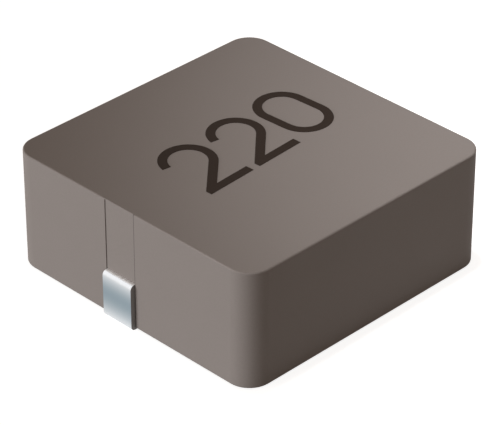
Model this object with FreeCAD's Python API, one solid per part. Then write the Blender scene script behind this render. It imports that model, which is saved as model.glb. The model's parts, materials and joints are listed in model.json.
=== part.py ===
import FreeCAD, Part
import math
import os

# A shielded surface-mount power inductor. A coil of flat copper wire and the inner ends of
# two metal strips are pressed into one block of iron powder and resin. The strips come out
# of opposite sides of the block, turn down in shallow channels and fold under it as feet.
#
# Lengths are millimetres and angles are degrees. The circuit board is the plane z = 0, the
# block stands over the origin, and x runs from terminal to terminal.

# Block
body_length = 10.0
body_width = 10.0
body_top = 4.0
stand_off = 0.04
corner_radius = 0.77
edge_radius = 0.05

# Channels and foot pockets in the block
channel_depth = 0.03
channel_side_gap = 0.01
pocket_end_gap = 0.05

# Terminal strips, whose bends are pressed sharper on the outside than a free bend
strip_width = 1.2
strip_thickness = 0.2
strip_offset = 0.33
strip_exit_top = 1.58
bend_inner_radius = 0.03
bend_outer_radius = 0.15
foot_length = 2.2

# Winding
whole_turns = 3
wire_width = 1.7
wire_thickness = 0.45
winding_inner_radius = 2.1
enamel_film = 0.03
weld_inset = 0.15
weld_margin_angle = 4.0

# How far a cutting shape runs past the surface that it opens
overrun = 0.5

ORIGIN = FreeCAD.Vector(0, 0, 0)
UP = FreeCAD.Vector(0, 0, 1)
FULL_TURN = 360.0
HALF_TURN = 180.0

# Worked out from the sizes above
channel_floor = body_length / 2 - channel_depth
pocket_ceiling = strip_thickness
winding_outer_radius = winding_inner_radius + wire_width
weld_end = winding_inner_radius + weld_inset

# Each end of the wire is a flat arc that covers its terminal's weld pad, and the helix runs
# between the two. The pad lies off centre, so the arc reaches further to one side.
weld_far_angle = math.degrees(math.atan2(strip_width / 2 + strip_offset, weld_end)) + weld_margin_angle
weld_near_angle = math.degrees(math.atan2(strip_width / 2 - strip_offset, weld_end)) + weld_margin_angle
flat_angle = weld_far_angle + weld_near_angle
turns = whole_turns + 0.5
helix_angle = FULL_TURN * turns - flat_angle

# The first full turn comes back over the wire's flat end with a film of enamel on each face.
pitch = (wire_thickness + 2 * enamel_film) / (1 - flat_angle / FULL_TURN)
helix_rise = pitch * helix_angle / FULL_TURN
winding_height = helix_rise + wire_thickness
winding_bottom = (stand_off + body_top - winding_height) / 2
winding_top = winding_bottom + winding_height

lower_flat_start = HALF_TURN - weld_far_angle
helix_start = HALF_TURN + weld_near_angle
helix_stop = helix_start + helix_angle


def upright_outline(inner, outer, low, high):
    """A closed rectangle in the plane y = 0, between two radii and two heights."""
    corners = [(inner, low), (outer, low), (outer, high), (inner, high), (inner, low)]
    return Part.makePolygon([FreeCAD.Vector(radius, 0, height) for radius, height in corners])


def flat_arc(inner, outer, low, high, start, stop):
    """The rectangle turned about the z axis from one angle to another, at one height."""
    arc = Part.Face(upright_outline(inner, outer, low, high)).revolve(ORIGIN, UP, stop - start)
    arc.rotate(ORIGIN, UP, start)
    return arc


def helical_run(inner, outer, low, high, start, stop):
    """The rectangle carried up the winding's helix; its heights hold at the start angle."""
    guide = Part.makeHelix(pitch, pitch * (stop - start) / FULL_TURN, (inner + outer) / 2)
    guide.translate(FreeCAD.Vector(0, 0, (low + high) / 2))
    outline = upright_outline(inner, outer, low, high)
    run = Part.Wire(guide.Edges).makePipeShell([outline], True, True)
    run.rotate(ORIGIN, UP, start)
    return run


def make_winding():
    """Flat wire on edge: a flat arc, the helix, and a flat arc at the top."""
    radii = (winding_inner_radius, winding_outer_radius)
    lower = (winding_bottom, winding_bottom + wire_thickness)
    upper = (winding_top - wire_thickness, winding_top)
    lower_end = flat_arc(*radii, *lower, lower_flat_start, helix_start)
    helix = helical_run(*radii, *lower, helix_start, helix_stop)
    upper_end = flat_arc(*radii, *upper, helix_stop, helix_stop + flat_angle)
    return lower_end.fuse([helix, upper_end]).removeSplitter()


def winding_space():
    """The room that the enamelled winding fills: a ring, less the powder that rises with
    the first turn below it and the powder that follows the last turn above it."""
    inner = winding_inner_radius - enamel_film
    outer = winding_outer_radius + enamel_film
    floor = winding_bottom - enamel_film
    ceiling = winding_top + enamel_film
    end_gap_angle = math.degrees(enamel_film / winding_inner_radius)
    ramp_angle = FULL_TURN - flat_angle - end_gap_angle
    ring = flat_arc(inner, outer, floor, ceiling, 0, FULL_TURN)
    wide = (inner - overrun, outer + overrun)
    below = helical_run(*wide, floor - pitch, floor, helix_start, helix_start + ramp_angle)
    ramp_foot = ceiling - pitch * ramp_angle / FULL_TURN
    above = helical_run(*wide, ramp_foot, ramp_foot + pitch, helix_stop - ramp_angle, helix_stop)
    return ring.cut([below, above])


def bent_strip(route, width, thickness, inner_radius, outer_radius):
    """Sheet metal of one thickness and width along a route of (x, z) points, with a rounded
    bend at each point between the ends. The width is centred on the plane y = 0."""
    points = [FreeCAD.Vector(x, 0, z) for x, z in route]
    directions = [(after - before).normalize() for before, after in zip(points, points[1:])]
    normals = [FreeCAD.Vector(-way.z, 0, way.x) for way in directions]
    sides = []
    for side in (thickness / 2, -thickness / 2):
        edges = []
        reached = points[0] + normals[0] * side
        for corner in range(1, len(points) - 1):
            before, after = directions[corner - 1], directions[corner]
            turn = before.getAngle(after)
            inward = (after - before).normalize()
            off_route = (normals[corner - 1] + normals[corner]) * (side / (1 + math.cos(turn)))
            sharp = points[corner] + off_route
            radius = inner_radius if off_route.dot(inward) > 0 else outer_radius
            setback = radius * math.tan(turn / 2)
            arc_start = sharp - before * setback
            arc_end = sharp + after * setback
            arc_middle = sharp + inward * (radius / math.cos(turn / 2) - radius)
            edges.append(Part.makeLine(reached, arc_start))
            edges.append(Part.Arc(arc_start, arc_middle, arc_end).toShape())
            reached = arc_end
        finish = points[-1] + normals[-1] * side
        edges.append(Part.makeLine(reached, finish))
        sides.append((edges, finish))
    (upper_edges, upper_finish), (lower_edges, lower_finish) = sides
    start_cap = Part.makeLine(points[0] + normals[0] * thickness / 2, points[0] - normals[0] * thickness / 2)
    end_cap = Part.makeLine(upper_finish, lower_finish)
    outline = Part.Wire(Part.__sortEdges__(upper_edges + lower_edges + [start_cap, end_cap]))
    strip = Part.Face(outline).extrude(FreeCAD.Vector(0, width, 0))
    strip.translate(FreeCAD.Vector(0, -width / 2, 0))
    return strip


def make_terminal(weld_height):
    """One terminal, as it stands on the +x side: foot, upright, exit bend, riser and weld pad.
    The weld height is the middle of the pad's thickness."""
    upright = channel_floor + strip_thickness / 2
    foot_middle = strip_thickness / 2
    exit_middle = strip_exit_top - strip_thickness / 2
    riser = (winding_outer_radius + enamel_film + channel_floor) / 2
    route = [
        (upright + strip_thickness / 2 - foot_length, foot_middle),
        (upright, foot_middle),
        (upright, exit_middle),
        (riser, exit_middle),
        (riser, weld_height),
        (weld_end, weld_height),
    ]
    terminal = bent_strip(route, strip_width, strip_thickness, bend_inner_radius, bend_outer_radius)
    terminal.translate(FreeCAD.Vector(0, -strip_offset, 0))
    return terminal


def terminal_recess():
    """The channel up the +x side of the block and the pocket for the foot."""
    opening = strip_width + 2 * channel_side_gap
    left_edge = -strip_offset - opening / 2
    height = body_top - stand_off + 2 * overrun
    channel = Part.makeBox(channel_depth + overrun, opening, height)
    channel.translate(FreeCAD.Vector(channel_floor, left_edge, stand_off - overrun))
    pocket_start = channel_floor + strip_thickness - foot_length - pocket_end_gap
    pocket_depth = pocket_ceiling - stand_off
    pocket = Part.makeBox(body_length / 2 + overrun - pocket_start, opening, pocket_depth + overrun)
    pocket.translate(FreeCAD.Vector(pocket_start, left_edge, stand_off - overrun))
    return channel.fuse(pocket)


def other_side(shape):
    """The same shape on the -x side, half a turn round the z axis."""
    turned = shape.copy()
    turned.rotate(ORIGIN, UP, HALF_TURN)
    return turned


def make_block():
    """The pressed block before anything is seated in it."""
    block = Part.makeBox(body_length, body_width, body_top - stand_off)
    block.translate(FreeCAD.Vector(-body_length / 2, -body_width / 2, stand_off))
    upright_edges = [edge for edge in block.Edges if edge.BoundBox.ZLength > body_top / 2]
    block = block.makeFillet(corner_radius, upright_edges)
    rim_edges = [edge for edge in block.Edges if edge.BoundBox.ZLength < body_top / 2]
    return block.makeFillet(edge_radius, rim_edges)


winding = make_winding()
right_terminal = make_terminal(winding_top + strip_thickness / 2)
left_terminal = other_side(make_terminal(winding_bottom - strip_thickness / 2))
recess = terminal_recess()
moulded_body = make_block().cut([recess, other_side(recess), winding_space()])
moulded_body = moulded_body.cut([left_terminal, right_terminal])

os.makedirs("parts", exist_ok=True)
pieces = {
    "moulded_body": moulded_body,
    "winding": winding,
    "left_terminal": left_terminal,
    "right_terminal": right_terminal,
}
for name, shape in pieces.items():
    shape.exportStep(f"parts/{name}.step")
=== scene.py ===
"""Looks of a moulded surface-mount power inductor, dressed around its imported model.

The block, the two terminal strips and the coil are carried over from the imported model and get
their finishes here. The printed figures on the block's top are modelled here, and so are the
floor, the lamps, the world and the camera. Every object is in metres, in the model's own frame:
+Z off the board, +X from terminal to terminal, the block centred over the origin.
"""

from __future__ import annotations

import json
import logging
import math
from dataclasses import dataclass
from enum import Enum
from functools import reduce
from typing import Any, Iterable, Optional, Sequence, Union

import bmesh
import bpy
from mathutils import Matrix, Vector

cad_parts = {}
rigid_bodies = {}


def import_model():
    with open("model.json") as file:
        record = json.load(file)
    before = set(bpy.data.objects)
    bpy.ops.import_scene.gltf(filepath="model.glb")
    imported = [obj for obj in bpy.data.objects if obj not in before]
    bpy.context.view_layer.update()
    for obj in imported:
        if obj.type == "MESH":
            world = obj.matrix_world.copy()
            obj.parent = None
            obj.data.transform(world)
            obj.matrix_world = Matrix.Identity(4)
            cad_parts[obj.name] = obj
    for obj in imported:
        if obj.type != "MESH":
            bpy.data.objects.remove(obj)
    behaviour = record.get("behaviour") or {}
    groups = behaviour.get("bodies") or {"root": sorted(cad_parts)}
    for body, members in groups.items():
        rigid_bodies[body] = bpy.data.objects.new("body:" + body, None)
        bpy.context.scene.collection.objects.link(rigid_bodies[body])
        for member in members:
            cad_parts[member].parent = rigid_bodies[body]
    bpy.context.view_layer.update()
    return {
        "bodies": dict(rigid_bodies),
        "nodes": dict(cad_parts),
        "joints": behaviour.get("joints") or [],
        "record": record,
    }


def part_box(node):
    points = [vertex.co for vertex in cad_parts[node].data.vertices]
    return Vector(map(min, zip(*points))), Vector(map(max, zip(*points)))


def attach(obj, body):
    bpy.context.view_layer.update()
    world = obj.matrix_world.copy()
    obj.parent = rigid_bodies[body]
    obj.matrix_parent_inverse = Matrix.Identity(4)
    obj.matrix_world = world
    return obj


log = logging.getLogger("inductor")

MM = 0.001
BODY = "root"

Colour = tuple[float, float, float]
Point2 = tuple[float, float]
Point3 = tuple[float, float, float]
Span = tuple[float, float]
Ring = list[bmesh.types.BMVert]
Value = Union[float, int, Sequence[float], "Signal"]

# Factors that keep a place's X and Y and drop its height
LEVEL: Point3 = (1.0, 1.0, 0.0)

# Octaves of finer noise laid over the first in every noise
OCTAVES = 2.0


class Node(Enum):
    """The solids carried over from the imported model."""

    BLOCK = "moulded_body"
    COIL = "winding"
    LEFT_TERMINAL = "left_terminal"
    RIGHT_TERMINAL = "right_terminal"


class Slot(Enum):
    """The record's material slot names for new pieces."""

    INK = "marking_ink"


class Ray(Enum):
    """Kinds of ray that see the white surroundings, as outputs of the Light Path node."""

    CAMERA = "Is Camera Ray"
    GLOSSY = "Is Glossy Ray"
    TRANSMISSION = "Is Transmission Ray"


class Signal:
    """One output socket of a node, with arithmetic that adds Math nodes to its graph."""

    def __init__(self, graph: Graph, socket: Optional[bpy.types.NodeSocket]) -> None:
        """Wraps a node's output, or None for a node that ends its graph and has no output."""
        self.graph = graph
        self.socket = socket

    def math(self, operation: str, *values: Value) -> Signal:
        """The result of one Math node on one or two values."""
        return self.graph.add("ShaderNodeMath", {"operation": operation}, dict(enumerate(values)))

    def __add__(self, other: Value) -> Signal:
        """This plus another value."""
        return self.math("ADD", self, other)

    def __radd__(self, other: Value) -> Signal:
        """Another value plus this."""
        return self.math("ADD", other, self)

    def __sub__(self, other: Value) -> Signal:
        """This less another value."""
        return self.math("SUBTRACT", self, other)

    def __rsub__(self, other: Value) -> Signal:
        """Another value less this."""
        return self.math("SUBTRACT", other, self)

    def __mul__(self, other: Value) -> Signal:
        """This times another value."""
        return self.math("MULTIPLY", self, other)

    def __rmul__(self, other: Value) -> Signal:
        """Another value times this."""
        return self.math("MULTIPLY", other, self)

    def __abs__(self) -> Signal:
        """This without its sign."""
        return self.math("ABSOLUTE", self)

    def sign(self) -> Signal:
        """-1 where this is below 0, and 1 where it is above."""
        return self.math("SIGN", self)

    def maximum(self, other: Value) -> Signal:
        """The larger of this and another value."""
        return self.math("MAXIMUM", self, other)

    def ramp(self, low: float, high: float) -> Signal:
        """A straight rise from 0 where this is low to 1 where it is high, which may be the lesser."""
        inputs = {"Value": self, "From Min": low, "From Max": high}
        return self.graph.add("ShaderNodeMapRange", {"interpolation_type": "LINEAR"}, inputs)

    def step(self, low: float, high: float) -> Signal:
        """A smooth step of this value.

        Args:
            low: Where the step starts, at 0.
            high: Where it has reached 1. It may be less than low, for a step down.

        Returns:
            The step, from 0 to 1.
        """
        settings = {"interpolation_type": "SMOOTHSTEP"}
        inputs = {"Value": self, "From Min": low, "From Max": high}
        if high < low:
            inputs = {"Value": self, "From Min": high, "From Max": low, "To Min": 1.0, "To Max": 0.0}
        return self.graph.add("ShaderNodeMapRange", settings, inputs)


class Graph:
    """The nodes of one material or world."""

    def __init__(self, tree: bpy.types.NodeTree) -> None:
        """Empties a node tree and wraps it."""
        self.tree = tree
        tree.nodes.clear()

    def add(
        self,
        kind: str,
        settings: Optional[dict[str, Any]] = None,
        inputs: Optional[dict[Union[str, int], Value]] = None,
        output: Union[str, int] = 0,
    ) -> Signal:
        """Adds one node, sets its settings, then fills or links its input sockets.

        Args:
            kind: The node's type, such as "ShaderNodeMath".
            settings: Attributes of the node, set first.
            inputs: Values or signals by socket name or number.
            output: The output socket to hand back, by name or number.

        Returns:
            The chosen output.
        """
        node = self.tree.nodes.new(kind)
        for name, value in (settings or {}).items():
            setattr(node, name, value)
        for key, value in (inputs or {}).items():
            if isinstance(value, Signal):
                self.tree.links.new(value.socket, node.inputs[key])
            else:
                node.inputs[key].default_value = value
        return Signal(self, node.outputs[output] if node.outputs else None)

    def place(self) -> Signal:
        """The place on the part, as a vector in millimetres of the model's frame."""
        return self.scaled(self.add("ShaderNodeTexCoord", output="Object"), 1 / MM)

    def scaled(self, vector: Value, factor: Value) -> Signal:
        """A vector or a colour times one number."""
        inputs = {0: vector, "Scale": factor}
        return self.add("ShaderNodeVectorMath", {"operation": "SCALE"}, inputs)

    def stretch(self, vector: Signal, factors: Point3) -> Signal:
        """A vector times one factor for each axis."""
        return self.add("ShaderNodeVectorMath", {"operation": "MULTIPLY"}, {0: vector, 1: factors})

    def axis(self, vector: Signal, name: str) -> Signal:
        """The X, Y or Z of a vector."""
        return self.add("ShaderNodeSeparateXYZ", inputs={0: vector}, output=name)

    def noise(self, vector: Signal, scale: float, seed: float = 0.0) -> Signal:
        """Smooth noise from 0 to 1, with scale cells to a unit of the vector."""
        inputs = {"Vector": vector, "W": seed, "Scale": scale, "Detail": OCTAVES}
        return self.add("ShaderNodeTexNoise", {"noise_dimensions": "4D"}, inputs)

    def blend(self, factor: Value, low: Value, high: Value) -> Signal:
        """One colour passing into another.

        The Mix node has sockets of one name for numbers, vectors and colours, so the colours'
        are given by number.

        Args:
            factor: 0 for the first colour, 1 for the second.
            low: The first colour.
            high: The second colour.

        Returns:
            The mixed colour.
        """
        settings = {"data_type": "RGBA", "clamp_factor": True}
        factor_socket, low_socket, high_socket, result_socket = 0, 6, 7, 2
        inputs = {factor_socket: factor, low_socket: low, high_socket: high}
        return self.add("ShaderNodeMix", settings, inputs, output=result_socket)

    def relief(self, height: Signal, depth: float) -> Signal:
        """A Normal from a relief of 0 to 1 and its full depth in millimetres."""
        inputs = {"Strength": 1.0, "Distance": depth * MM, "Height": height}
        return self.add("ShaderNodeBump", inputs=inputs)

    def seen_by(self, rays: Iterable[Ray]) -> Signal:
        """1 for the rays of any of the kinds given, and 0 for others."""
        kinds = [self.add("ShaderNodeLightPath", output=ray.value) for ray in rays]
        return reduce(Signal.maximum, kinds)


def rgba(colour: Colour) -> tuple[float, float, float, float]:
    """A colour with full alpha."""
    return (*colour, 1.0)


@dataclass(frozen=True)
class Finish:
    """A material's name, and how it is made from the surface that its kind describes."""

    name: str

    def surface(self, graph: Graph) -> Signal:
        """Builds the shader in a graph. Each kind of finish has its own."""
        raise NotImplementedError

    def material(self) -> bpy.types.Material:
        """Makes the material.

        Returns:
            The material.
        """
        material = bpy.data.materials.new(self.name)
        material.use_nodes = True
        graph = Graph(material.node_tree)
        graph.add("ShaderNodeOutputMaterial", inputs={"Surface": self.surface(graph)})
        return material


@dataclass(frozen=True)
class PressedPowder(Finish):
    """Iron powder and resin pressed to a matt block: even, with a fine grain.

    A dark hairline of painted shade runs down one edge of the channel in each end wall, in the
    channel's corner where shade falls. The two lines are half a turn round the block's axis from
    each other. The offset field is how far off the wall's middle they run, and wall is how far
    out a surface has to lie to show them. Lengths are millimetres.
    """

    shade_line_offset: float
    wall: float
    wall_fade: float = 0.01
    shade_line_width: float = 0.05
    shade_line_darkness: float = 0.85
    colour: Colour = (0.243, 0.220, 0.2105)
    grain_per_mm: float = 16.0
    grain_contrast: float = 0.10
    grain_depth: float = 0.003
    cloud_per_mm: float = 0.7
    cloud_contrast: float = 0.03
    cloud_seed: float = 3.0
    roughness: float = 0.68
    roughness_spread: float = 0.10
    specular: float = 0.05

    def surface(self, graph: Graph) -> Signal:
        """Builds the shader: grain in tone, roughness and relief, and painted shade lines in tone.

        Args:
            graph: The graph to build in.

        Returns:
            The shader.
        """
        place = graph.place()
        grain = graph.noise(place, self.grain_per_mm)
        cloud = graph.noise(place, self.cloud_per_mm, seed=self.cloud_seed)
        tone = 1 + (grain - 0.5) * self.grain_contrast + (cloud - 0.5) * self.cloud_contrast
        # Painted shade: dark lines down the channels' corners in the end walls.
        tone = tone * (1 - self.shade_line_darkness * self.painted_shade_lines(graph, place))
        inputs = {
            "Base Color": graph.scaled(self.colour, tone),
            "Roughness": self.roughness + (grain - 0.5) * self.roughness_spread,
            "Specular IOR Level": self.specular,
            "Normal": graph.relief(grain, self.grain_depth),
        }
        return graph.add("ShaderNodeBsdfPrincipled", inputs=inputs)

    def painted_shade_lines(self, graph: Graph, place: Signal) -> Signal:
        """The painted shade lines down the end walls' channel corners.

        Args:
            graph: The graph to build in.
            place: The place on the part.

        Returns:
            1 on a painted shade line and 0 elsewhere.
        """
        along, across = graph.axis(place, "X"), graph.axis(place, "Y")
        off_line = abs(across * along.sign() - self.shade_line_offset)
        on_wall = abs(along).step(self.wall - self.wall_fade, self.wall)
        return on_wall * off_line.step(self.shade_line_width / 2, 0.0)


@dataclass(frozen=True)
class TinPlate(Finish):
    """Satin tin over copper strip.

    On the upright its colour is a painted reflection: dullest at one height and passing to
    brighter tin above and below it. Round the upper bend it has a painted highlight. It is matt
    where a surface faces up and on the dark cut edges. Heights are millimetres. A turn is a span
    of the surface normal's share along an axis, over which one look gives way to the next.
    """

    # bright, light and dull colour the painted reflection; bright is also the painted highlight on
    # the bend.
    bright: Colour = (0.905, 0.915, 0.935)
    light: Colour = (0.635, 0.664, 0.688)
    dull: Colour = (0.249, 0.312, 0.353)
    cut_edge: Colour = (0.26, 0.25, 0.245)
    dull_height: float = 0.857
    bright_height: float = 1.66
    light_height: float = 0.143
    edge_turn: Span = (0.6, 0.9)
    bend_highlight_turn: Span = (0.0, 0.7)
    top_turn: Span = (0.88, 0.96)
    lines_per_mm: float = 22.0
    line_stretch: Point3 = (0.04, 1.0, 0.04)
    line_contrast: float = 0.05
    line_depth: float = 0.0012
    roughness: float = 0.30
    roughness_spread: float = 0.08
    matt_roughness: float = 0.6
    matt_metal: float = 0.2

    def surface(self, graph: Graph) -> Signal:
        """Builds the shader: a painted reflection by height, a painted highlight on the bend and the
        matt parts by facing, under rolling lines.

        Args:
            graph: The graph to build in.

        Returns:
            The shader.
        """
        place = graph.place()
        lines = graph.noise(graph.stretch(place, self.line_stretch), self.lines_per_mm)
        facing = graph.add("ShaderNodeTexCoord", output="Normal")
        edge = abs(graph.axis(facing, "Y")).step(*self.edge_turn)
        rise = graph.axis(facing, "Z")
        matt = edge.maximum(rise.step(*self.top_turn))
        tone = 1 + (lines - 0.5) * self.line_contrast
        gloss = self.roughness + (lines - 0.5) * self.roughness_spread
        # Painted reflection: the upright's colour is dark in a band at one height, brighter above and
        # below.
        painted_reflection = self.painted_reflection(graph, graph.axis(place, "Z"))
        # Painted highlight round the upper bend, where the surface turns up.
        bend_highlighted = graph.blend(rise.step(*self.bend_highlight_turn), painted_reflection, rgba(self.bright))
        colour = graph.blend(edge, bend_highlighted, rgba(self.cut_edge))
        inputs = {
            "Base Color": graph.scaled(colour, tone),
            "Metallic": 1.0 - matt * (1.0 - self.matt_metal),
            "Roughness": gloss + matt * (self.matt_roughness - self.roughness),
            "Normal": graph.relief(lines, self.line_depth),
        }
        return graph.add("ShaderNodeBsdfPrincipled", inputs=inputs)

    def painted_reflection(self, graph: Graph, height: Signal) -> Signal:
        """The upright's colour, a painted reflection: dark at one height and brighter above and
        below.

        Args:
            graph: The graph to build in.
            height: The height in millimetres.

        Returns:
            The colour.
        """
        above = height.ramp(self.dull_height, self.bright_height)
        below = height.ramp(self.dull_height, self.light_height)
        upper = graph.blend(above * above, rgba(self.dull), rgba(self.bright))
        return graph.blend(below * below, upper, rgba(self.light))


@dataclass(frozen=True)
class EnamelledCopper(Finish):
    """Copper under clear enamel, with drawing lines round the coil."""

    colour: Colour = (0.80, 0.36, 0.20)
    lines_per_mm: float = 14.0
    line_contrast: float = 0.12
    roughness: float = 0.28
    roughness_spread: float = 0.12
    coat_roughness: float = 0.08

    def surface(self, graph: Graph) -> Signal:
        """Builds the shader: lines at one distance from the coil's axis, under a clear coat.

        Args:
            graph: The graph to build in.

        Returns:
            The shader.
        """
        place = graph.place()
        level = graph.stretch(place, LEVEL)
        radius = graph.add("ShaderNodeVectorMath", {"operation": "LENGTH"}, {0: level}, "Value")
        track = graph.add("ShaderNodeCombineXYZ", inputs={0: radius, 1: graph.axis(place, "Z")})
        lines = graph.noise(track, self.lines_per_mm)
        tone = 1 + (lines - 0.5) * self.line_contrast
        inputs = {
            "Base Color": graph.scaled(self.colour, tone),
            "Metallic": 1.0,
            "Roughness": self.roughness + (lines - 0.5) * self.roughness_spread,
            "Coat Weight": 1.0,
            "Coat Roughness": self.coat_roughness,
        }
        return graph.add("ShaderNodeBsdfPrincipled", inputs=inputs)


@dataclass(frozen=True)
class PrintedInk(Finish):
    """Dark brown ink that follows the grain under it."""

    colour: Colour = (0.0296, 0.0203, 0.0159)
    grain_per_mm: float = 16.0
    grain_contrast: float = 0.25
    roughness: float = 0.75
    specular: float = 0.1

    def surface(self, graph: Graph) -> Signal:
        """Builds the shader: a flat ink whose tone follows the grain.

        Args:
            graph: The graph to build in.

        Returns:
            The shader.
        """
        grain = graph.noise(graph.place(), self.grain_per_mm)
        tone = 1 + (grain - 0.5) * self.grain_contrast
        inputs = {
            "Base Color": graph.scaled(self.colour, tone),
            "Roughness": self.roughness,
            "Specular IOR Level": self.specular,
        }
        return graph.add("ShaderNodeBsdfPrincipled", inputs=inputs)


@dataclass(frozen=True)
class WhiteGround(Finish):
    """A floor that shows white and keeps the part's shadow.

    To the camera and in reflections it is a pale matt floor with a glow that brings it to
    white. To all other light it is only the matt floor.
    """

    albedo: float = 0.45
    shadow_share: float = 0.5
    glow: float = 0.86

    def surface(self, graph: Graph) -> Signal:
        """Builds the shader: matt for scattered light, matt and glow where it is seen.

        Args:
            graph: The graph to build in.

        Returns:
            The shader.
        """
        matt = graph.add("ShaderNodeBsdfDiffuse", inputs={"Color": rgba((self.albedo,) * 3)})
        thin = graph.add("ShaderNodeBsdfDiffuse", inputs={"Color": rgba((self.shadow_share,) * 3)})
        glow = graph.add("ShaderNodeEmission", inputs={"Strength": self.glow})
        shown = graph.add("ShaderNodeAddShader", inputs={0: thin, 1: glow})
        return graph.add("ShaderNodeMixShader", inputs={0: graph.seen_by(Ray), 1: matt, 2: shown})


def dress(node: Node, frame: dict[str, Any], finish: Finish) -> None:
    """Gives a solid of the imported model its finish.

    Args:
        node: The solid.
        frame: The loaded frame.
        finish: Its finish.
    """
    materials = frame["nodes"][node.value].data.materials
    materials.clear()
    materials.append(finish.material())
    log.info("dressed %s in %s", node.value, finish.name)


@dataclass
class Block:
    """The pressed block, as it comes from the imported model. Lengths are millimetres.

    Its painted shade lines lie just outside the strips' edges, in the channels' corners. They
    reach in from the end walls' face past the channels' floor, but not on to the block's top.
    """

    frame: dict[str, Any]
    shade_line_gap: float = 0.01
    shade_line_reach: float = 0.035

    def build(self) -> None:
        """Dresses the block, with its painted shade lines placed by the left strip and the end wall.
        """
        # The painted shade lines sit just outside the left strip's edge, and mirrored at the other
        # end.
        shade_line_offset = self.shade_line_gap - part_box(Node.LEFT_TERMINAL.value)[0].y / MM
        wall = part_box(Node.BLOCK.value)[1].x / MM - self.shade_line_reach
        dress(Node.BLOCK, self.frame, PressedPowder("pressed_powder", shade_line_offset=shade_line_offset, wall=wall))

    def top(self) -> float:
        """The height of the block's flat top."""
        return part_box(Node.BLOCK.value)[1].z / MM


@dataclass
class Terminals:
    """The two tinned strips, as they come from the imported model."""

    frame: dict[str, Any]
    finish: Finish = TinPlate("tin_plate")

    def build(self) -> None:
        """Dresses both strips."""
        for node in (Node.LEFT_TERMINAL, Node.RIGHT_TERMINAL):
            dress(node, self.frame, self.finish)


@dataclass
class Coil:
    """The coil inside the block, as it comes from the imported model."""

    frame: dict[str, Any]
    finish: Finish = EnamelledCopper("enamelled_copper")

    def build(self) -> None:
        """Dresses the coil."""
        dress(Node.COIL, self.frame, self.finish)


def arc(centre: Point2, radius: float, start: float, stop: float, steps: int) -> list[Point2]:
    """Points along an arc in equal steps, both ends included.

    Args:
        centre: The arc's centre.
        radius: Its radius.
        start: The first point's angle in degrees.
        stop: The last point's angle in degrees.
        steps: The number of steps from the first point to the last.

    Returns:
        The points.
    """
    x, y = centre
    angles = [math.radians(start + (stop - start) * step / steps) for step in range(steps + 1)]
    return [(x + radius * math.cos(angle), y + radius * math.sin(angle)) for angle in angles]


def band(mesh: bmesh.types.BMesh, first: Ring, second: Ring) -> None:
    """Joins two closed rings of as many points by a band of faces."""
    for index in range(len(first)):
        mesh.faces.new((first[index - 1], first[index], second[index], second[index - 1]))


@dataclass
class Marking:
    """Plain figures printed on the block's top. Sizes are millimetres and degrees."""

    top: float
    figures: str = "220"
    centre: Point2 = (0.30, 0.42)
    turn: float = 3.0
    height: float = 2.70
    width: float = 1.82
    stroke: float = 0.30
    gap: float = 0.28
    film: float = 0.008
    bite: float = 0.002
    bow_start: float = 168.0
    arc_steps: int = 40
    finish: Finish = PrintedInk("marking_ink")

    def two(self) -> list[list[Point2]]:
        """A figure two: a bow that runs into a straight diagonal, and a foot.

        Returns:
            Its one outline, from the lower left corner of its box.
        """
        half = self.stroke / 2
        bow = (self.width - self.stroke) / 2
        centre = (self.width / 2, self.height - half - bow)
        corner = (half, half)
        run, rise = centre[0] - corner[0], centre[1] - corner[1]
        lean = math.atan2(rise, run) - math.asin(bow / math.hypot(run, rise))
        bow_stop = math.degrees(lean) - 90
        outer = arc(centre, bow + half, self.bow_start, bow_stop, self.arc_steps)
        inner = arc(centre, bow - half, bow_stop, self.bow_start, self.arc_steps)
        across = self.stroke / math.sin(lean)
        foot_meets = corner[0] + half / math.tan(lean) + across / 2
        left_meets = corner[1] - corner[0] * math.tan(lean) + half / math.cos(lean)
        foot = [(foot_meets, self.stroke), (self.width, self.stroke), (self.width, 0.0), (0.0, 0.0)]
        return [[*outer, *foot, (0.0, left_meets), *inner]]

    def zero(self) -> list[list[Point2]]:
        """A figure nought: an upright ring with straight sides.

        Returns:
            Its outer and inner outlines.
        """
        loops = []
        middle = self.width / 2
        for inset in (0.0, self.stroke):
            radius = middle - inset
            upper = arc((middle, self.height - middle), radius, 0, 180, self.arc_steps)
            lower = arc((middle, middle), radius, 180, 360, self.arc_steps)
            loops.append([*upper, *lower])
        return loops

    def outlines(self, figure: str) -> list[list[Point2]]:
        """One outline of a figure, or an outer and an inner one."""
        return {"2": self.two, "0": self.zero}[figure]()

    def film_of(self, loops: list[list[Point2]], name: str) -> bpy.types.Object:
        """Makes a figure as a thin closed film of ink.

        Args:
            loops: Its outlines.
            name: The piece's name.

        Returns:
            The piece, lying at the frame's origin.
        """
        mesh = bmesh.new()
        lower, upper = [
            [[mesh.verts.new((x, y, z)) for x, y in loop] for loop in loops]
            for z in (0.0, self.film + self.bite)
        ]
        for rings in (lower, upper):
            if len(rings) == 1:
                mesh.faces.new(rings[0])
            else:
                band(mesh, *rings)
        for low, high in zip(lower, upper):
            band(mesh, low, high)
        bmesh.ops.recalc_face_normals(mesh, faces=mesh.faces)
        data = bpy.data.meshes.new(name)
        mesh.to_mesh(data)
        mesh.free()
        piece = bpy.data.objects.new(name, data)
        bpy.context.scene.collection.objects.link(piece)
        return piece

    def build(self) -> None:
        """Builds the row of figures, centred and turned, its underside just under the surface."""
        material = self.finish.material()
        pitch = self.width + self.gap
        length = pitch * len(self.figures) - self.gap
        seat = Vector((self.centre[0], self.centre[1], self.top - self.bite)) * MM
        place = Matrix.Translation(seat) @ Matrix.Rotation(math.radians(self.turn), 4, "Z")
        for index, figure in enumerate(self.figures):
            piece = self.film_of(self.outlines(figure), f"marking_figure_{index + 1}")
            corner = Vector((index * pitch - length / 2, -self.height / 2, 0.0))
            piece.data.transform(Matrix.Scale(MM, 4) @ Matrix.Translation(corner))
            piece.data.transform(place)
            piece.data.materials.append(material)
            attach(piece, BODY)
            log.info("built %s", piece.name)


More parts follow.
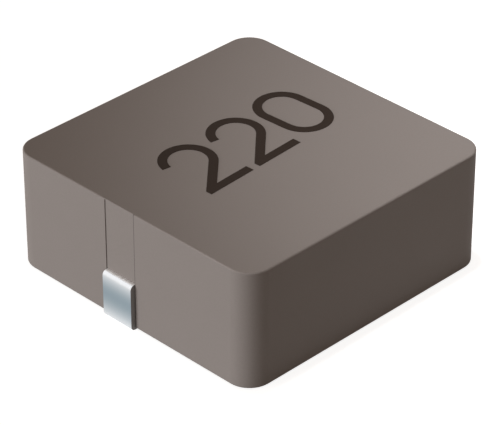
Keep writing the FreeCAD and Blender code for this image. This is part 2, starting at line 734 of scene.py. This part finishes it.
@dataclass(kw_only=True)
class Lamp:
    """A lamp aimed at the part. Lengths are metres."""

    name: str
    place: Point3
    aim: Point3
    power: float

    def light(self) -> bpy.types.Light:
        """Makes the light, without its power. Each kind of lamp has its own."""
        raise NotImplementedError

    def build(self) -> None:
        """Builds the lamp, which neither the camera nor a reflection shows."""
        light = self.light()
        light.energy = self.power
        lamp = bpy.data.objects.new(self.name, light)
        lamp.location = self.place
        beam = Vector(self.aim) - Vector(self.place)
        lamp.rotation_euler = beam.to_track_quat("-Z", "Y").to_euler()
        lamp.visible_camera = False
        lamp.visible_glossy = False
        bpy.context.scene.collection.objects.link(lamp)
        log.info("built %s", self.name)


@dataclass(kw_only=True)
class Panel(Lamp):
    """A soft rectangular lamp."""

    size: Point2

    def light(self) -> bpy.types.Light:
        """Makes the light.

        Returns:
            The light, without its power.
        """
        light = bpy.data.lights.new(self.name, "AREA")
        light.shape = "RECTANGLE"
        light.size, light.size_y = self.size
        return light


@dataclass(kw_only=True)
class Spotlight(Lamp):
    """A round lamp whose light fades from the middle of its beam to the edge of its cone."""

    radius: float
    cone: float
    fade: float

    def light(self) -> bpy.types.Light:
        """Makes the light.

        Returns:
            The light, without its power.
        """
        light = bpy.data.lights.new(self.name, "SPOT")
        light.shadow_soft_size = self.radius
        light.spot_size = math.radians(self.cone)
        light.spot_blend = self.fade
        return light


@dataclass
class Studio:
    """The white floor, the surroundings and the lamps. Lengths are metres, angles degrees."""

    floor_radius: float = 1.5
    floor_sides: int = 96
    ambient: Colour = (0.262, 0.205, 0.162)
    aim: Point3 = (0.0, 0.0, 0.002)
    key_place: Point3 = (-0.127, 0.046, 0.018)
    key_size: Point2 = (0.090, 0.030)
    key_power: float = 0.155
    over_place: Point3 = (-0.00106, 0.0028, 0.0894)
    over_aim: Point3 = (0.01456, -0.01456, 0.004)
    over_radius: float = 0.004
    over_cone: float = 37.3
    over_fade: float = 0.898
    over_power: float = 0.2405
    back_place: Point3 = (0.100, 0.100, 0.080)
    back_size: Point2 = (0.080, 0.080)
    back_power: float = 0.012

    def floor(self) -> None:
        """Builds the round floor that the part stands on."""
        mesh = bmesh.new()
        radius, sides = self.floor_radius, self.floor_sides
        bmesh.ops.create_circle(mesh, cap_ends=True, segments=sides, radius=radius)
        data = bpy.data.meshes.new("floor")
        mesh.to_mesh(data)
        mesh.free()
        data.materials.append(WhiteGround("white_ground").material())
        floor = bpy.data.objects.new("floor", data)
        bpy.context.scene.collection.objects.link(floor)
        log.info("built floor")

    def world(self) -> None:
        """Builds the surroundings: white where they are seen, and a plain fill light."""
        world = bpy.data.worlds.new("surroundings")
        world.use_nodes = True
        graph = Graph(world.node_tree)
        white = graph.add("ShaderNodeBackground", inputs={"Color": rgba((1.0, 1.0, 1.0))})
        fill = graph.add("ShaderNodeBackground", inputs={"Color": rgba(self.ambient)})
        shown = graph.add("ShaderNodeMixShader", inputs={0: graph.seen_by(Ray), 1: fill, 2: white})
        graph.add("ShaderNodeOutputWorld", inputs={"Surface": shown})
        bpy.context.scene.world = world
        log.info("built surroundings")

    def lamps(self) -> list[Lamp]:
        """The lamps: a soft key lamp, one overhead that fades across the top, and one behind.

        Returns:
            The lamps, not built yet.
        """
        key = Panel(
            name="key_lamp",
            place=self.key_place,
            aim=self.aim,
            power=self.key_power,
            size=self.key_size,
        )
        over = Spotlight(
            name="over_lamp",
            place=self.over_place,
            aim=self.over_aim,
            power=self.over_power,
            radius=self.over_radius,
            cone=self.over_cone,
            fade=self.over_fade,
        )
        back = Panel(
            name="back_lamp",
            place=self.back_place,
            aim=self.aim,
            power=self.back_power,
            size=self.back_size,
        )
        return [key, over, back]

    def build(self) -> None:
        """Builds the floor, the surroundings and the lamps."""
        self.floor()
        self.world()
        for lamp in self.lamps():
            lamp.build()


@dataclass
class Viewpoint:
    """The camera at the photograph's angle. Lengths are millimetres, angles degrees.

    The picture is 500 by 425 pixels, and the part's middle falls on middle_pixel in it. The
    camera is turned so that it does, and not shifted.
    """

    azimuth: float = -45.0
    elevation: float = 32.43
    distance: float = 86.85
    focal_pixels: float = 2882.2
    image_width: float = 500.0
    image_height: float = 425.0
    middle_height: float = 2.0
    middle_pixel: Point2 = (249.47, 203.97)
    sensor: float = 36.0
    near: float = 1.0
    far: float = 10000.0

    def build(self) -> None:
        """Builds the camera and makes it the scene's own."""
        data = bpy.data.cameras.new("camera")
        data.sensor_width = self.sensor
        data.lens = self.focal_pixels * self.sensor / self.image_width
        data.clip_start = self.near * MM
        data.clip_end = self.far * MM
        camera = bpy.data.objects.new("camera", data)
        turn = math.radians(self.azimuth)
        tilt = math.radians(self.elevation)
        away = Vector((-math.sin(turn), math.cos(turn), 0.0))
        forward = away * math.cos(tilt) - Vector((0.0, 0.0, math.sin(tilt)))
        right = Vector((math.cos(turn), math.sin(turn), 0.0))
        upward = right.cross(forward)
        scale = self.distance / self.focal_pixels
        middle = Vector((0.0, 0.0, self.middle_height))
        aside = (self.image_width / 2 - self.middle_pixel[0]) * scale
        below = (self.image_height / 2 - self.middle_pixel[1]) * scale
        aim = middle + right * aside - upward * below
        camera.location = (middle - forward * self.distance) * MM
        camera.rotation_euler = (aim * MM - camera.location).to_track_quat("-Z", "Y").to_euler()
        bpy.context.scene.collection.objects.link(camera)
        bpy.context.scene.camera = camera
        log.info("built camera")


def main() -> None:
    """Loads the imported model, dresses it and builds what is new, piece by piece."""
    logging.basicConfig(level=logging.INFO, format="%(name)s: %(message)s")
    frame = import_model()
    bpy.context.scene.view_settings.view_transform = "Standard"
    Viewpoint().build()
    block = Block(frame)
    block.build()
    Terminals(frame).build()
    Coil(frame).build()
    Marking(block.top()).build()
    Studio().build()


if __name__ == "__main__":
    main()
